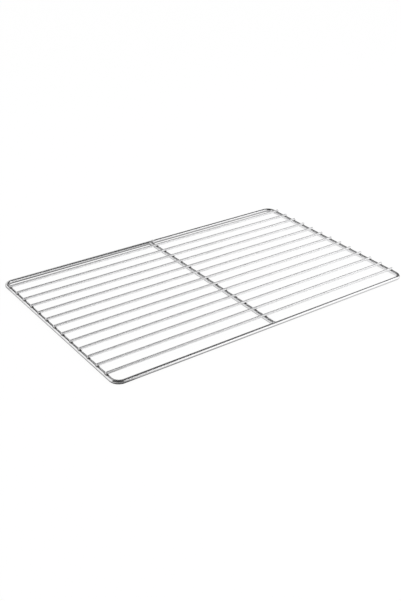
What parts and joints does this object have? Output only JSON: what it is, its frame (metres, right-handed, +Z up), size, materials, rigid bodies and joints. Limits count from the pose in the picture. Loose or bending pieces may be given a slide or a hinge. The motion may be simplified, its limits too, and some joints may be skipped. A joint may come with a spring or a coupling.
{
  "type": "oven shelf rack",
  "caption": "Welded wire oven rack: a round-wire frame with rounded corners, a cross bar and a grille of thinner rods lying on top.",
  "frame": {"origin": "middle of the rack, on the surface that the frame wire lies on", "axes": "+X along the long sides and the rods, +Y across the rods towards the side with the frame's closing weld, +Z up, to the side that carries the food"},
  "size_m": [0.53, 0.3253, 0.0097],
  "materials": {
    "wire": "bright plated drawn steel wire"
  },
  "bodies": {
    "root": {"frame": "wire", "cross_bar": "wire", "rod_01": "wire", "rod_02": "wire", "rod_03": "wire", "rod_04": "wire", "rod_05": "wire", "rod_06": "wire", "rod_07": "wire", "rod_08": "wire", "rod_09": "wire", "rod_10": "wire", "rod_11": "wire", "rod_12": "wire", "rod_13": "wire"}
  },
  "joints": []
}
